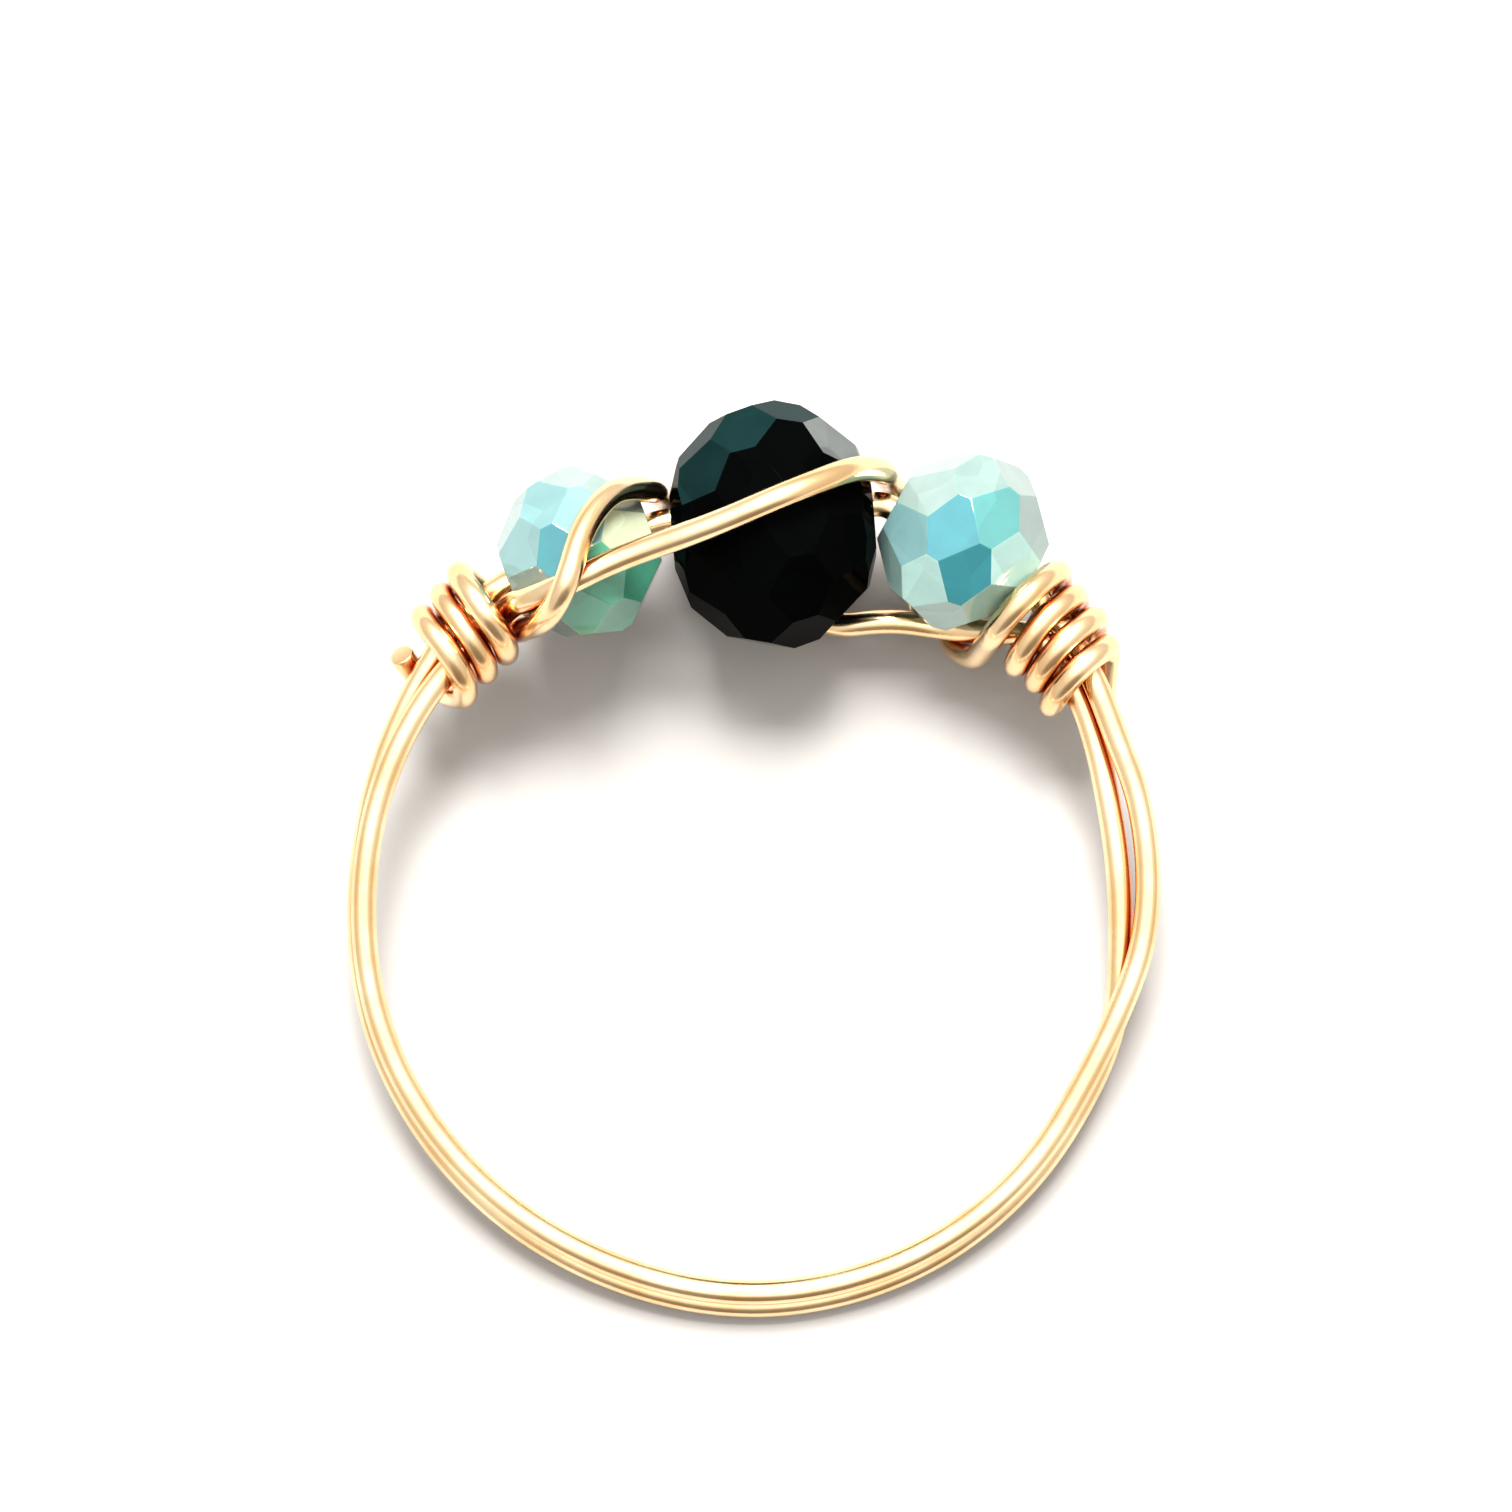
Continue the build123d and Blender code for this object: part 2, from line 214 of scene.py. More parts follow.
# A cut end of the wire: how far inside the end, and the share of the wire's radius there. These
# rings take the place of the route's own points over the length of the cut
CutRing = namedtuple("CutRing", "inside share")
CUT_END = (
    CutRing(0.050, 1.000),
    CutRing(0.016, 0.985),
    CutRing(0.002, 0.930),
    CutRing(0.000, 0.800),
)
CUT_LENGTH = 0.06

# The gold: how quickly the wire's thickness comes and goes and how fine the spots of handling
# are, both per metre, and how near another turn has to be for the painted shade between turns
UNEVEN_FINENESS = 900
HANDLED_FINENESS = 420
PAINTED_SHADE_REACH = 0.4

# Lines from drawing and small dents: how fine they are along a millimetre of the wire and once
# round it, and how deep
DRAWN_LINES = (0.35, 26.0, 1.0)
LINE_DEPTH = 0.008
DENTS = (1.6, 2.5, 1.0)
DENT_DEPTH = 0.02

# The beads' facets: how near two corners lie to be one, the most that two faces of one facet
# bend, the least that two facets bend to have a worn edge between them, and how far from the
# hole's axis such edges start
CORNER_WELD = 0.002
FLAT_BEND = 1
WORN_BEND = 6
HOLE_RIM = 0.75

# The glass: how far light spreads in the milky one, and how fine the spots of each are, per metre
MILK_DEPTH = 0.6
MILK_FINENESS = 750
JET_FINENESS = 500

# The ring's own X, Y and Z as columns, as it lies on the floor, and where its centre lies
RING_AXES = (Matrix.Rotation(radians(REST_ROLL), 3, "Y")
             @ Matrix.Rotation(radians(REST_TILT), 3, "X"))
RING_CENTRE = Vector((0.0713, -1.0899, 2.0687))

# What the photo shows: its width at the ring, and its middle along the ring's own Y
PHOTO_WIDTH = 36
PHOTO_MIDDLE = 3.5476

# The stage: half the side of the floor, the window's width, height and place, and the nearest and
# the farthest that the camera sees
FLOOR_HALF = 600
WINDOW_WIDTH = 130
WINDOW_HEIGHT = 100
WINDOW_PLACE = Vector((0, 130, 225))
NEAREST = 5
FARTHEST = 5000

# The room's light: the middles of its bright and its dark side in the ring's own X, Y and Z, and
# for each side the light's colour by the cosine of the angle from there; the two multiply
BRIGHT_SIDE = Vector((0.0, 0.34, 0.94))
DARK_SIDE = Vector((0.10, -0.93, 0.36))
RoomLight = namedtuple("RoomLight", "cosine colour")
BRIGHT_LIGHT = (
    RoomLight(0.00, (0.34, 0.32, 0.29)),
    RoomLight(0.45, (0.39, 0.375, 0.355)),
    RoomLight(0.68, (0.52, 0.51, 0.49)),
    RoomLight(0.84, (0.96, 0.96, 0.95)),
    RoomLight(1.00, (1.00, 1.00, 1.00)),
)
DARK_LIGHT = (
    RoomLight(0.00, (1.00, 1.00, 1.00)),
    RoomLight(0.74, (1.00, 1.00, 1.00)),
    RoomLight(0.93, (0.42, 0.38, 0.33)),
    RoomLight(1.00, (0.36, 0.32, 0.27)),
)

# Patches of colour in the beads' glass, of which a facet takes the first that it faces: lean
# towards the right end of the bead, angle round it from the outside of the ring towards the
# viewer, spread, and tint. A facet that faces none of them takes the tint of the rest
Patch = namedtuple("Patch", "bead lean around spread tint")
PATCHES = (
    # The clear patch is a painted glint on one facet of the left bead
    Patch("left_bead", 45, 90, 20, "clear"),
    Patch("left_bead", 25, 135, 45, "green"),
    Patch("left_bead", -14, 90, 20, "blue"),
    Patch("left_bead", -30, 50, 50, "sky"),
    # Painted light on the dark bead: the teal patch is light shining through the glass, the glint
    # patch a painted reflection of the bright room
    Patch("black_bead", -25, 27, 42, "teal"),
    Patch("black_bead", 42, 36, 20, "glint"),
    Patch("right_bead", -3, 100, 26, "blue"),
    Patch("right_bead", 14, 67, 20, "turquoise"),
    Patch("right_bead", -46, 112, 20, "sky"),
    Patch("right_bead", 6, 145, 63, "milky"),
)
REST_TINTS = {"left_bead": "pale", "black_bead": "jet", "right_bead": "pale"}


class WireSettings(bpy.types.PropertyGroup):
    """Sizes and colours of the wire."""

    diameter: FloatProperty(
        name="Diameter", description="Thickness of the wire", default=WIRE_DIAMETER * MM,
        min=0.3 * MM, max=1.0 * MM, precision=5, unit="LENGTH")
    sides: IntProperty(
        name="Sides", description="Faces around the wire", default=24, min=12, max=48)
    steps: IntProperty(
        name="Steps", description="Stretches from one corner of the route to the next",
        default=12, min=4, max=16)
    unevenness: FloatProperty(
        name="Unevenness", description="Share of the thickness by which it comes and goes",
        default=0.012, min=0.0, max=0.05)
    bright: FloatVectorProperty(
        name="Gold", description="Colour of the clean gold", default=(0.96, 0.74, 0.46),
        min=0, max=1, subtype="COLOR")
    warm: FloatVectorProperty(
        name="Warm gold", description="Colour of the gold where it was handled most",
        default=(0.90, 0.59, 0.30), min=0, max=1, subtype="COLOR")
    # Painted shade: the red-brown that the gold is darkened to deep between two turns
    painted_crevice_shade: FloatVectorProperty(
        name="Tarnish", description="Shade of the gold deep between two turns",
        default=(0.60, 0.19, 0.04), min=0, max=1, subtype="COLOR")


class GlassSettings(bpy.types.PropertyGroup):
    """Sizes and colours of the beads."""

    edge: FloatProperty(
        name="Edge width", description="Width of the worn edge between two facets",
        default=0.03 * MM, min=0.0, max=0.1 * MM, precision=6, unit="LENGTH")
    pale: FloatVectorProperty(
        name="Pale mint", description="Pale beads, apart from their patches",
        default=(0.125, 0.180, 0.165), min=0, max=1, subtype="COLOR")
    milky: FloatVectorProperty(
        name="Milky mint", description="Pale beads on the side of the finger",
        default=(0.215, 0.350, 0.320), min=0, max=1, subtype="COLOR")
    sky: FloatVectorProperty(
        name="Sky blue", description="Pale beads where the milk looks blue",
        default=(0.100, 0.190, 0.190), min=0, max=1, subtype="COLOR")
    turquoise: FloatVectorProperty(
        name="Turquoise", description="Pale beads where the glass is thicker",
        default=(0.045, 0.165, 0.158), min=0, max=1, subtype="COLOR")
    blue: FloatVectorProperty(
        name="Blue", description="Pale beads where one looks deep into the glass",
        default=(0.015, 0.120, 0.140), min=0, max=1, subtype="COLOR")
    green: FloatVectorProperty(
        name="Green", description="Pale beads on the side of the finger and the dark bead",
        default=(0.056, 0.241, 0.155), min=0, max=1, subtype="COLOR")
    # Painted glint: the tint of the one bright facet of the left bead
    clear: FloatVectorProperty(
        name="Clear", description="Pale beads where the glass is almost clear",
        default=(0.31, 0.34, 0.23), min=0, max=1, subtype="COLOR")
    jet: FloatVectorProperty(
        name="Jet", description="Dark bead, apart from its patches",
        default=(0.0005, 0.0006, 0.0006), min=0, max=1, subtype="COLOR")
    # Painted light: the teal tint is light shining through, the glint tint a painted reflection
    teal: FloatVectorProperty(
        name="Dark teal", description="Dark bead where light shines through",
        default=(0.0025, 0.0105, 0.0105), min=0, max=1, subtype="COLOR")
    glint: FloatVectorProperty(
        name="Glint", description="Dark bead where a facet mirrors the bright room",
        default=(0.075, 0.081, 0.078), min=0, max=1, subtype="COLOR")


class StageSettings(bpy.types.PropertyGroup):
    """Settings of the floor, the lights and the camera."""

    floor: FloatVectorProperty(
        name="Floor", description="Colour of the paper below", default=(0.31, 0.295, 0.28),
        min=0, max=1, subtype="COLOR")
    distance: FloatProperty(
        name="Camera distance", description="From the ring's plane to the camera",
        default=110 * MM, min=50 * MM, max=1000 * MM, unit="LENGTH")
    key: FloatProperty(
        name="Window light", description="Strength of the light above and behind the beads",
        default=2.6, min=0.0, max=10.0)
    sky: FloatProperty(
        name="Room light", description="Strength of the soft light all round", default=2.4,
        min=0.0, max=10.0)


class RingSettings(bpy.types.PropertyGroup):
    """All settings of the ring."""

    wire: PointerProperty(type=WireSettings)
    glass: PointerProperty(type=GlassSettings)
    stage: PointerProperty(type=StageSettings)


def on_ring(radius, angle, height=0.0):
    """A point given by its radius and ring angle."""
    return Vector((radius * cos(radians(angle)), radius * sin(radians(angle)), height))


def ring_angle(point):
    """The ring angle of a point."""
    return degrees(atan2(point.y, point.x))


def between(rows, at):
    """The other values of a table's row where its first value is at, straight between rows."""
    if at <= rows[0][0]:
        return rows[0][1:]
    for low, high in zip(rows, rows[1:]):
        if at <= high[0]:
            share = (at - low[0]) / (high[0] - low[0])
            return tuple(a + share * (b - a) for a, b in zip(low[1:], high[1:]))
    return rows[-1][1:]


BeadRow = namedtuple("BeadRow", "left black right left_bend right_bend")


class Bead:
    """A bead on the straight stretch of wire that threads it."""

    def __init__(self, diameter, length, outline, hole_middle, heading, hole_offset):
        self.radius = diameter / 2
        self.half = length / 2
        self.outline = outline
        self.along = Vector((cos(radians(heading)), sin(radians(heading)), 0))
        self.across = Vector((-sin(radians(heading)), cos(radians(heading)), 0))
        self.hole_middle = hole_middle
        self.middle = hole_middle - self.across * hole_offset

    def on_axis(self, side, beyond=0.0):
        """A point on the hole's axis, past one end face by the length beyond."""
        return self.hole_middle + self.along * (side * (self.half + beyond))

    def seat(self, row):
        """The corner of the wire's route for one seat on this bead."""
        reach = between(self.outline, abs(row.along))[0] * self.radius
        out = reach + SEAT_GAP + WIRE_RADIUS + row.lift * WIRE_DIAMETER
        turned = radians(row.around)
        return (
            self.middle
            + self.along * (row.along * self.half)
            + self.across * (out * cos(turned))
            + Vector((0, 0, out * sin(turned)))
        )


def far_end(start, length, radius, side):
    """The point at a length from start that lies at a radius from the ring's centre."""
    out = start.length
    opening = acos((out * out + length * length - radius * radius) / (2 * out * length))
    heading = atan2(-start.y, -start.x) + side * opening
    return start + Vector((cos(heading), sin(heading), 0)) * length


def bead_row():
    """The three beads, each on its own straight stretch of wire, and the wire's two bends."""
    middle = on_ring(MEAN_RADIUS, BLACK_RING_ANGLE)
    heading = BLACK_RING_ANGLE - 90 + BLACK_SKEW
    black = Bead(
        BLACK_DIAMETER, BLACK_LENGTH, BLACK_OUTLINE, middle, heading, BLACK_HOLE_OFFSET)
    left_bend = black.on_axis(-1, LEFT_GAP / 2)
    right_bend = black.on_axis(1, RIGHT_GAP / 2)
    left_exit = far_end(left_bend, LEFT_GAP / 2 + LEFT_LENGTH, LEFT_EXIT_RADIUS, -1)
    right_exit = far_end(right_bend, RIGHT_GAP / 2 + RIGHT_LENGTH, RIGHT_EXIT_RADIUS, 1)
    left = side_bead(LEFT_DIAMETER, LEFT_LENGTH, LEFT_HOLE_OFFSET, left_exit, left_bend, 1)
    right = side_bead(RIGHT_DIAMETER, RIGHT_LENGTH, RIGHT_HOLE_OFFSET, right_bend, right_exit, -1)
    return BeadRow(left, black, right, left_bend, right_bend)


def side_bead(diameter, length, hole_offset, start, stop, outer_side):
    """A side bead between two points of the wire; outer_side 1 sits it at start, -1 at stop."""
    along = (stop - start).normalized()
    outer = start if outer_side > 0 else stop
    middle = outer + along * (outer_side * length / 2)
    return Bead(diameter, length, SIDE_OUTLINE, middle, ring_angle(along), hole_offset)


class FingerRound:
    """The way of the wire round the finger, between the outer ends of the side beads."""

    def __init__(self, left, right):
        self.left_end = ring_angle(left.on_axis(-1)) - 360
        self.right_end = ring_angle(right.on_axis(1))
        self.left_start = self.left_end + LEFT_COIL_START * LAY_ANGLE
        self.right_start = self.right_end - RIGHT_COIL_START * LAY_ANGLE

    def pair(self, angle):
        """Middle radius, half spacing and roll of the two strands at a ring angle."""
        share = (angle - self.left_end) / (self.right_end - self.left_end)
        offset, spacing, roll = between(PAIRS, share)
        return MEAN_RADIUS + offset * WIRE_DIAMETER, spacing * LAY / 2, radians(roll)

    def strand(self, side, stop):
        """The upper strand, side 1, or the lower one, side -1, from right to left."""
        start = self.right_start - STRANDS_START * LAY_ANGLE
        steps = ceil((start - self.left_end - stop * LAY_ANGLE) / STRAND_STEP)
        step = (start - self.left_end - stop * LAY_ANGLE) / steps
        corners = []
        for count in range(steps + 1):
            angle = start - count * step
            middle, half, roll = self.pair(angle)
            radius = (middle + side * half * cos(roll)) / cos(radians(step / 2))
            corners.append(on_ring(radius, angle, side * half * sin(roll)))
        return corners

    def coil(self, turns, start, side):
        """A coil that winds away from the beads, towards larger ring angles with side 1."""
        rows = [(row.wound, start + side * row.laid * LAY_ANGLE, row.reach) for row in turns]
        corners = [self.coil_corner(*rows[0])]
        for low, high in zip(rows, rows[1:]):
            steps = round(abs(high[0] - low[0]) / COIL_STEP)
            for step in range(1, steps + 1):
                corner = [a + step / steps * (b - a) for a, b in zip(low, high)]
                corners.append(self.coil_corner(*corner))
        return corners

    def coil_corner(self, wound, angle, reach):
        """A corner of a coil's wire, wound round the middle of the two strands."""
        out = reach * COIL_REACH / cos(radians(COIL_STEP / 2))
        radius = self.pair(angle)[0] + out * cos(radians(wound))
        return on_ring(radius, angle, out * sin(radians(wound)))


def place(row, start, side):
    """A corner beside a coil."""
    radius = MEAN_RADIUS + row.out * WIRE_DIAMETER
    return on_ring(radius, start + side * row.laid * LAY_ANGLE, row.up * WIRE_DIAMETER)


def drop(row, bend):
    """The two corners of the wire's drop between two beads."""
    lean = Vector((sin(radians(row.lean)), cos(radians(row.lean)), 0))
    foot = bend + lean * (row.distance * LAY)
    return [foot + Vector((0, 0, height * WIRE_DIAMETER)) for height in (row.top, row.bottom)]


def wire_route(left, black, right, left_bend, right_bend):
    """Every corner of the wire, from the left cut end to the right one."""
    finger = FingerRound(left, right)
    left_start = finger.left_start
    right_start = finger.right_start

    corners = [place(LEFT_CUT_END, left_start, 1)]
    corners += reversed(finger.coil(LEFT_TURNS, left_start, 1))
    corners += [left.seat(row) for row in LOOP_OVER_LEFT]
    corners += drop(LEFT_DROP, left_bend)
    corners += [black.seat(row) for row in UNDER_BLACK]
    corners += [right.seat(row) for row in BESIDE_RIGHT]
    corners += [place(row, right_start, -1) for row in RIGHT_INNER]
    corners += finger.strand(-1, LOWER_STRAND_STOP)
    corners += [left.on_axis(-1), left.on_axis(1, -BEND_INSET), left_bend]
    corners += [black.on_axis(-1, -BEND_INSET), black.on_axis(1, -BEND_INSET), right_bend]
    corners += [right.on_axis(-1, -BEND_INSET), right.on_axis(1, RIGHT_BEND_BEYOND)]
    corners += [place(RIGHT_OUTER, right_start, -1)]
    corners += finger.strand(1, UPPER_STRAND_STOP)
    corners += [left.seat(row) for row in OVER_LEFT]
    corners += [black.seat(row) for row in OVER_BLACK]
    corners += drop(RIGHT_DROP, right_bend)
    corners += [right.seat(row) for row in UNDER_RIGHT]
    corners += [place(RIGHT_BULGE, right_start, -1)]
    corners += finger.coil(RIGHT_TURNS, right_start, -1)
    corners += [place(row, right_start, -1) for row in RIGHT_CUT_END]
    return corners


def in_metres(point):
    """A point of the ring as it lies on the floor, in metres."""
    return (RING_CENTRE + RING_AXES @ point) * MM


def new_object(name, data):
    """A new object of the scene, from its mesh, curve, lamp or lens."""
    obj = bpy.data.objects.new(name, data)
    bpy.context.scene.collection.objects.link(obj)
    return obj


def smooth_route(steps):
    """Points along one smooth line through the wire's route."""
    corners = [in_metres(corner) for corner in wire_route(*bead_row())]
    curve = bpy.data.curves.new("wire_route", "CURVE")
    curve.dimensions = "3D"
    spline = curve.splines.new("NURBS")
    spline.points.add(len(corners) - 1)
    for point, corner in zip(spline.points, corners):
        point.co = (*corner, 1)
    spline.order_u = 3
    spline.use_endpoint_u = True
    spline.resolution_u = steps
    line = new_object("wire_route", curve)
    bpy.context.view_layer.update()
    evaluated = line.evaluated_get(bpy.context.evaluated_depsgraph_get())
    mesh = bpy.data.meshes.new_from_object(evaluated)
    points = [vertex.co.copy() for vertex in mesh.vertices]
    bpy.data.objects.remove(line)
    bpy.data.meshes.remove(mesh)
    bpy.data.curves.remove(curve)
    return points


def frames_along(points):
    """A direction and two crosswise directions at each point, which never twist."""
    crosswise = None
    frames = []
    for index, point in enumerate(points):
        before = points[max(index - 1, 0)]
        after = points[min(index + 1, len(points) - 1)]
        along = (after - before).normalized()
        if crosswise is None:
            crosswise = along.orthogonal().normalized()
        crosswise = (crosswise - along * crosswise.dot(along)).normalized()
        frames.append((along, crosswise, along.cross(crosswise)))
    return frames


# A ring of the wire's mesh: its middle, the wire's length up to it, two directions across the
# wire, and its radius, all in metres
WireRing = namedtuple("WireRing", "middle run first second radius")


def wire_rings(points, radius):
    """The rings of the wire's mesh, from one cut end to the other."""
    frames = frames_along(points)
    run = 0.0
    rings = []
    for index, (point, (_, first, second)) in enumerate(zip(points, frames)):
        if index:
            run += (point - points[index - 1]).length
        rings.append(WireRing(point, run, first, second, radius))

    start, stop = rings[0], rings[-1]
    cut = CUT_LENGTH * MM
    kept = [ring for ring in rings if cut < ring.run < stop.run - cut]
    for row in CUT_END:
        inside = row.inside * MM
        reach = radius * row.share
        near_start = start.middle + frames[0][0] * inside
        near_stop = stop.middle - frames[-1][0] * inside
        kept.insert(0, start._replace(middle=near_start, run=inside, radius=reach))
        kept.append(stop._replace(middle=near_stop, run=stop.run - inside, radius=reach))
    return kept


def girth_corners(bm, ring, sides, unevenness):
    """The corners of the mesh round one ring, a little uneven as drawn wire is."""
    corners = []
    for side in range(sides):
        turned = 2 * pi * side / sides
        out = ring.first * cos(turned) + ring.second * sin(turned)
        spot = Vector((ring.run * UNEVEN_FINENESS, cos(turned), sin(turned)))
        reach = ring.radius * (1 - unevenness * (1 - noise.noise(spot)) / 2)
        corners.append(bm.verts.new(ring.middle + out * reach))
    return corners


def wire_mesh(settings):
    """The wire as a fine tube with its cut ends, with its length and its girth as a UV map."""
    rings = wire_rings(smooth_route(settings.steps), settings.diameter / 2)
    sides = settings.sides
    bm = bmesh.new()
    drawn = bm.loops.layers.uv.new("drawn")
    girths = [girth_corners(bm, ring, sides, settings.unevenness) for ring in rings]
    for index, (low, high) in enumerate(zip(girths, girths[1:])):
        low_run, high_run = rings[index].run / MM, rings[index + 1].run / MM
        for side in range(sides):
            after = (side + 1) % sides
            face = bm.faces.new((low[side], low[after], high[after], high[side]))
            face.smooth = True
            corners = ((low_run, side), (low_run, side + 1), (high_run, side + 1), (high_run, side))
            for loop, (run, around) in zip(face.loops, corners):
                loop[drawn].uv = (run, around / sides)
    for girth, ring in ((girths[0], rings[0]), (girths[-1], rings[-1])):
        tip = bm.verts.new(ring.middle)
        for side in range(sides):
            bm.faces.new((girth[side], girth[(side + 1) % sides], tip)).smooth = True
    bmesh.ops.recalc_face_normals(bm, faces=bm.faces)
    mesh = bpy.data.meshes.new("gold_wire")
    bm.to_mesh(mesh)
    bm.free()
    return mesh


class Nodes:
    """Adds and joins the shader nodes of a material or of the room's light."""

    def __init__(self, tree):
        self.tree = tree

    def add(self, kind, **values):
        """A new node, with the values of its sockets and its other settings."""
        node = self.tree.nodes.new(kind)
        for key, value in values.items():
            socket = key.replace("_", " ")
            if socket in node.inputs:
                node.inputs[socket].default_value = value
            else:
                setattr(node, key, value)
        return node

    def join(self, source, target, out=0, into=0):
        """Leads an output of one node into an input of another."""
        self.tree.links.new(source.outputs[out], target.inputs[into])

    def ramp(self, source, stops, out=0, interpolation="LINEAR"):
        """Colours by a value, from rows of the value and its colour."""
        ramp = self.add("ShaderNodeValToRGB")
        ramp.color_ramp.interpolation = interpolation
        elements = ramp.color_ramp.elements
        while len(elements) < len(stops):
            elements.new(0.5)
        for element, (position, colour) in zip(elements, stops):
            element.position = position
            element.color = (*colour, 1)
        self.join(source, ramp, out)
        return ramp

    def scaled(self, source, scale, out=0):
        """Coordinates with their X, Y and Z scaled."""
        mapping = self.add("ShaderNodeMapping", Scale=scale)
        self.join(source, mapping, out)
        return mapping

    def product(self, first, second):
        """Two colours multiplied."""
        product = self.add("ShaderNodeVectorMath", operation="MULTIPLY")
        self.join(first, product, 0, 0)
        self.join(second, product, 0, 1)
        return product


class Finish(Nodes):
    """A new material and its nodes, with the sockets of its shader that are the same all over."""

    def __init__(self, name, **values):
        self.material = bpy.data.materials.new(name)
        self.material.use_nodes = True
        super().__init__(self.material.node_tree)
        self.shader = self.tree.nodes["Principled BSDF"]
        for key, value in values.items():
            self.shader.inputs[key.replace("_", " ")].default_value = value


def grey(value):
    """The grey of a brightness."""
    return (value, value, value)


def gold_material(settings):
    """Polished gold wire with fine lines from drawing, small dents, handling and painted shade
    between turns.
    """
    gold = Finish("polished_gold_wire", Metallic=1.0)
    drawn = gold.add("ShaderNodeUVMap", uv_map="drawn")
    where = gold.add("ShaderNodeTexCoord")

    handled = gold.add("ShaderNodeTexNoise", Scale=HANDLED_FINENESS, Detail=4.0, Roughness=0.6)
    gold.join(where, handled, "Object")
    colour = gold.ramp(handled, ((0.38, settings.warm), (0.62, settings.bright)))
    # Painted shade and painted reflection: the gold darkens towards red-brown where another turn
    # lies near, as shade and gold mirrored in gold between turns
    crevice = gold.add(
        "ShaderNodeAmbientOcclusion", samples=8, only_local=True, Distance=PAINTED_SHADE_REACH * MM)
    painted_crevice_shade = gold.ramp(crevice, ((0.22, settings.painted_crevice_shade), (0.84, grey(1.0))), "AO")
    gold.join(gold.product(colour, painted_crevice_shade), gold.shader, 0, "Base Color")

    lines = gold.add("ShaderNodeTexNoise", Scale=1.0, Detail=3.0, Roughness=0.55)
    gold.join(gold.scaled(drawn, DRAWN_LINES), lines)
    rough = gold.ramp(lines, ((0.30, grey(0.12)), (0.72, grey(0.26))))
    gold.join(rough, gold.shader, 0, "Roughness")

    dents = gold.add("ShaderNodeTexNoise", Scale=1.0, Detail=2.0, Roughness=0.5)
    gold.join(gold.scaled(drawn, DENTS), dents)
    line_bump = gold.add("ShaderNodeBump", Strength=0.18, Distance=LINE_DEPTH * MM)
    gold.join(lines, line_bump, 0, "Height")
    dent_bump = gold.add("ShaderNodeBump", Strength=0.35, Distance=DENT_DEPTH * MM)
    gold.join(dents, dent_bump, 0, "Height")
    gold.join(line_bump, dent_bump, 0, "Normal")
    gold.join(dent_bump, gold.shader, 0, "Normal")
    return gold.material


def patch_facing(patch, bead):
    """The direction that a patch of colour on a bead faces."""
    lean, around = radians(patch.lean), radians(patch.around)
    across = bead.across * cos(around) + Vector((0, 0, sin(around)))
    return RING_AXES @ (bead.along * sin(lean) + across * cos(lean))


def facet_tint(name, normal, bead, settings):
    """The tint of the glass through one facet."""
    for patch in PATCHES:
        if patch.bead != name:
            continue
        if normal.angle(patch_facing(patch, bead)) < radians(patch.spread):
            return getattr(settings, patch.tint)
    return getattr(settings, REST_TINTS[name])


def worn_edges(bm, bead):
    """The edges between the bead's facets, without those of its hole."""
    middle = in_metres(bead.middle)
    along = RING_AXES @ bead.along
    worn = []
    for item in bm.edges:
        if len(item.link_faces) == 2 and item.calc_face_angle() > radians(WORN_BEND):
            offset = (item.verts[0].co + item.verts[1].co) / 2 - middle
            straight = offset - along * offset.dot(along)
            if straight.length > HOLE_RIM * MM:
                worn.append(item)
    return worn


def bead_mesh(name, bead, settings):
    """The bead's facets with narrow worn edges, and the tint of the glass through each."""
    bm = bmesh.new()
    bm.from_mesh(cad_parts[name].data)
    bmesh.ops.remove_doubles(bm, verts=bm.verts, dist=CORNER_WELD * MM)
    bmesh.ops.dissolve_limit(
        bm, angle_limit=radians(FLAT_BEND), verts=bm.verts, edges=bm.edges)
    tint = bm.faces.layers.float_color.new("tint")
    for face in bm.faces:
        face[tint] = (*facet_tint(name, face.normal, bead, settings), 1)
        face.smooth = False
    worn = bmesh.ops.bevel(
        bm, geom=worn_edges(bm, bead), offset=settings.edge, offset_type="WIDTH", segments=2,
        profile=0.5, affect="EDGES", clamp_overlap=True)
    for face in worn["faces"]:
        face.smooth = True
    mesh = bpy.data.meshes.new(name + "_glass")
    bm.to_mesh(mesh)
    bm.free()
    return mesh


def tinted(glass, fineness, change):
    """Colours the glass by its facets' tints, with lighter and darker spots, so many a metre."""
    tint = glass.add("ShaderNodeAttribute", attribute_name="tint")
    where = glass.add("ShaderNodeTexCoord")
    spots = glass.add("ShaderNodeTexVoronoi", Scale=fineness)
    glass.join(where, spots, "Object")
    milk = glass.add("ShaderNodeTexNoise", Scale=2.2 * fineness, Detail=3.0, Roughness=0.5)
    glass.join(where, milk, "Object")
    both = glass.add("ShaderNodeMath", operation="ADD")
    glass.join(spots, both, "Color", 0)
    glass.join(milk, both, 0, 1)
    shade = glass.add(
        "ShaderNodeMapRange", From_Min=0.4, From_Max=1.6, To_Min=1 - change, To_Max=1 + change)
    glass.join(both, shade)
    glass.join(glass.product(tint, shade), glass.shader, 0, "Base Color")


def pale_glass():
    """Milky turquoise glass with polished facets."""
    glass = Finish(
        "milky_turquoise_glass", Roughness=0.05, IOR=1.6, Subsurface_Weight=0.25,
        Subsurface_Scale=MILK_DEPTH * MM, Subsurface_Radius=(0.6, 1.0, 0.9),
        Coat_Weight=0.35, Coat_Roughness=0.03, Coat_IOR=1.6)
    tinted(glass, MILK_FINENESS, 0.16)
    return glass.material


def dark_glass():
    """Jet glass with a glossy polish, dark teal where light shines through."""
    glass = Finish("jet_glass", Roughness=0.04, IOR=1.5, Specular_IOR_Level=0.004)
    tinted(glass, JET_FINENESS, 0.35)
    return glass.material


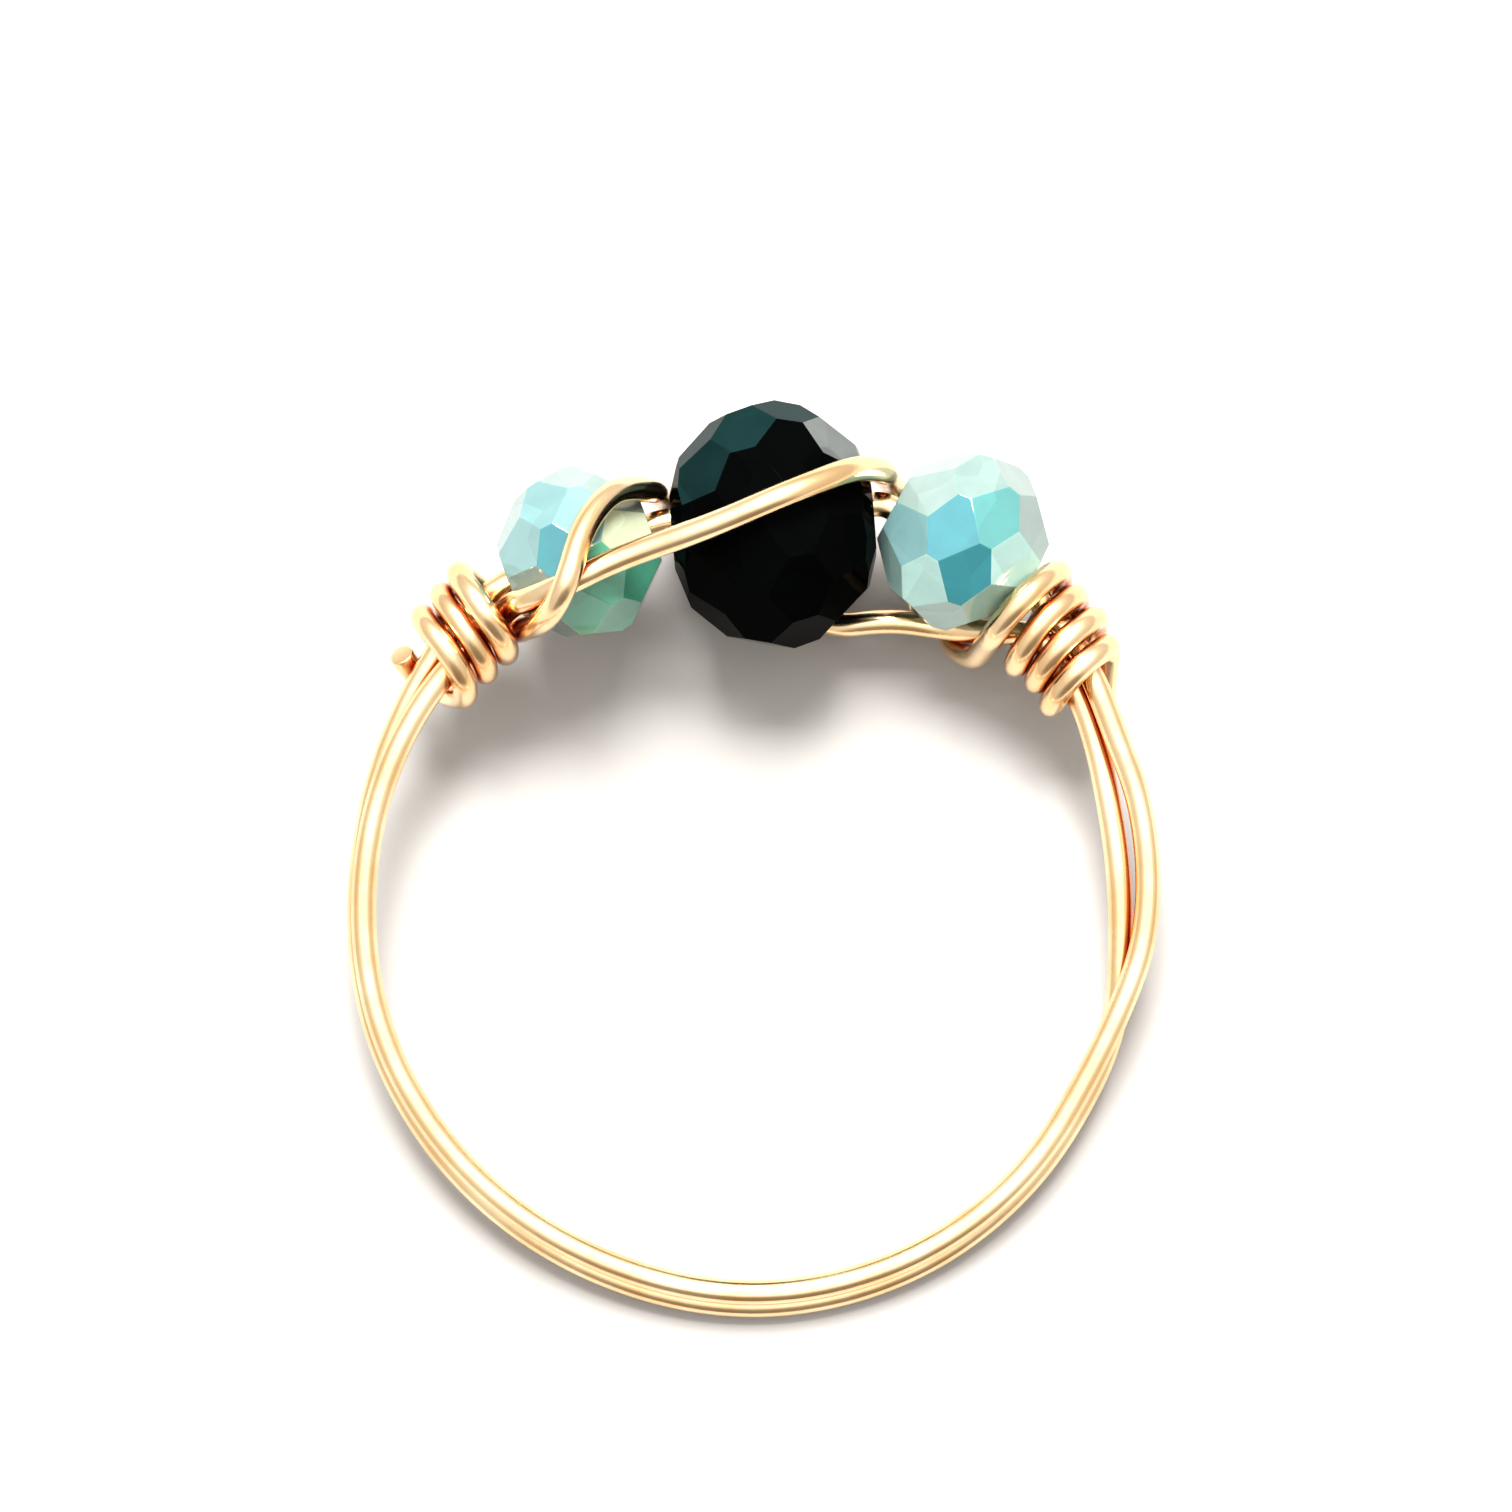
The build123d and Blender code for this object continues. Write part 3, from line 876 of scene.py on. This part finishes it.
def paper_material(colour):
    """Plain matt paper."""
    return Finish("white_paper", Roughness=0.9, Base_Color=(*colour, 1)).material


class RING_OT_wire(bpy.types.Operator):
    """Make the gold wire, from one cut end to the other"""

    bl_idname = "ring.wire"
    bl_label = "Gold wire"

    def execute(self, context):
        settings = context.scene.wrapped_ring.wire
        wire = new_object("gold_wire", wire_mesh(settings))
        wire.data.materials.append(gold_material(settings))
        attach(wire, "root")
        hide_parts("wire")
        return {"FINISHED"}


class RING_OT_dark_bead(bpy.types.Operator):
    """Make the large dark bead in the middle"""

    bl_idname = "ring.dark_bead"
    bl_label = "Dark bead"

    def execute(self, context):
        settings = context.scene.wrapped_ring.glass
        mesh = bead_mesh("black_bead", bead_row().black, settings)
        bead = new_object("dark_glass_bead", mesh)
        bead.data.materials.append(dark_glass())
        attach(bead, "root")
        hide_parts("black_bead")
        return {"FINISHED"}


class RING_OT_pale_beads(bpy.types.Operator):
    """Make the two pale turquoise beads beside the dark one"""

    bl_idname = "ring.pale_beads"
    bl_label = "Pale beads"

    def execute(self, context):
        settings = context.scene.wrapped_ring.glass
        glass = pale_glass()
        row = bead_row()
        for name, threaded in (("left_bead", row.left), ("right_bead", row.right)):
            bead = new_object("pale_glass_" + name, bead_mesh(name, threaded, settings))
            bead.data.materials.append(glass)
            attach(bead, "root")
            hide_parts(name)
        return {"FINISHED"}


class RING_OT_stage(bpy.types.Operator):
    """Make the white paper floor, the lights and the camera"""

    bl_idname = "ring.stage"
    bl_label = "Floor, lights and camera"

    def execute(self, context):
        settings = context.scene.wrapped_ring.stage
        self.make_floor(settings.floor)
        self.make_window(settings.key)
        self.make_room(settings.sky)
        self.make_camera(settings.distance)
        return {"FINISHED"}

    def make_floor(self, colour):
        """The sheet of paper that the ring lies on."""
        half = FLOOR_HALF * MM
        mesh = bpy.data.meshes.new("paper_floor")
        corners = [(-half, -half, 0), (half, -half, 0), (half, half, 0), (-half, half, 0)]
        mesh.from_pydata(corners, [], [(0, 1, 2, 3)])
        floor = new_object("paper_floor", mesh)
        floor.data.materials.append(paper_material(colour))

    def make_window(self, strength):
        """The soft light of a window above and behind the beads."""
        lamp = bpy.data.lights.new("window", "AREA")
        lamp.shape = "RECTANGLE"
        lamp.size = WINDOW_WIDTH * MM
        lamp.size_y = WINDOW_HEIGHT * MM
        lamp.energy = strength
        window = new_object("window", lamp)
        facing = WINDOW_PLACE.to_track_quat("Z", "Y").to_matrix().to_4x4()
        window.matrix_world = Matrix.Translation(WINDOW_PLACE * MM) @ facing

    def make_room(self, strength):
        """The light of the room, brighter on one side and darker on another."""
        scene = bpy.context.scene
        scene.view_settings.view_transform = "Standard"
        scene.view_settings.look = "None"
        scene.world = bpy.data.worlds.new("room")
        scene.world.use_nodes = True
        room = Nodes(scene.world.node_tree)
        where = room.add("ShaderNodeTexCoord")
        lights = []
        for side, stops in ((BRIGHT_SIDE, BRIGHT_LIGHT), (DARK_SIDE, DARK_LIGHT)):
            cosine = room.add("ShaderNodeVectorMath", operation="DOT_PRODUCT")
            cosine.inputs[1].default_value = RING_AXES @ side
            room.join(where, cosine, "Generated")
            lights.append(room.ramp(cosine, stops, "Value", "EASE"))
        back = room.tree.nodes["Background"]
        back.inputs["Strength"].default_value = strength
        room.join(room.product(*lights), back, 0, "Color")

    def make_camera(self, distance):
        """The camera straight before the ring's own plane, as in the photo."""
        lens = bpy.data.cameras.new("camera")
        lens.sensor_width = PHOTO_WIDTH
        lens.sensor_fit = "HORIZONTAL"
        lens.lens = distance / MM
        lens.clip_start = NEAREST * MM
        lens.clip_end = FARTHEST * MM
        camera = new_object("camera", lens)
        eye = in_metres(Vector((0, PHOTO_MIDDLE, distance / MM)))
        camera.matrix_world = Matrix.Translation(eye) @ RING_AXES.to_4x4()
        bpy.context.scene.camera = camera


class RING_PT_panel(bpy.types.Panel):
    """Sidebar panel that lists the pieces of the ring"""

    bl_idname = "RING_PT_panel"
    bl_label = "Wire wrapped ring"
    bl_space_type = "VIEW_3D"
    bl_region_type = "UI"
    bl_category = "Ring"

    def draw(self, context):
        """Lists the settings of each group, then the operators that make the pieces."""
        settings = context.scene.wrapped_ring
        for group in (settings.wire, settings.glass, settings.stage):
            box = self.layout.box()
            for name in type(group).__annotations__:
                box.prop(group, name)
        for maker in MAKERS:
            self.layout.operator(maker.bl_idname)


MAKERS = (RING_OT_stage, RING_OT_wire, RING_OT_dark_bead, RING_OT_pale_beads)
CLASSES = (WireSettings, GlassSettings, StageSettings, RingSettings, *MAKERS, RING_PT_panel)


def register():
    """Make the settings, the operators and the panel known to Blender."""
    for item in CLASSES:
        bpy.utils.register_class(item)
    bpy.types.Scene.wrapped_ring = PointerProperty(type=RingSettings)


def unregister():
    """Take the settings, the operators and the panel away again."""
    del bpy.types.Scene.wrapped_ring
    for item in reversed(CLASSES):
        bpy.utils.unregister_class(item)


def main():
    """Make the ring and its stage."""
    register()
    bpy.ops.ring.stage()
    bpy.ops.ring.wire()
    bpy.ops.ring.dark_bead()
    bpy.ops.ring.pale_beads()


if __name__ == "__main__":
    main()
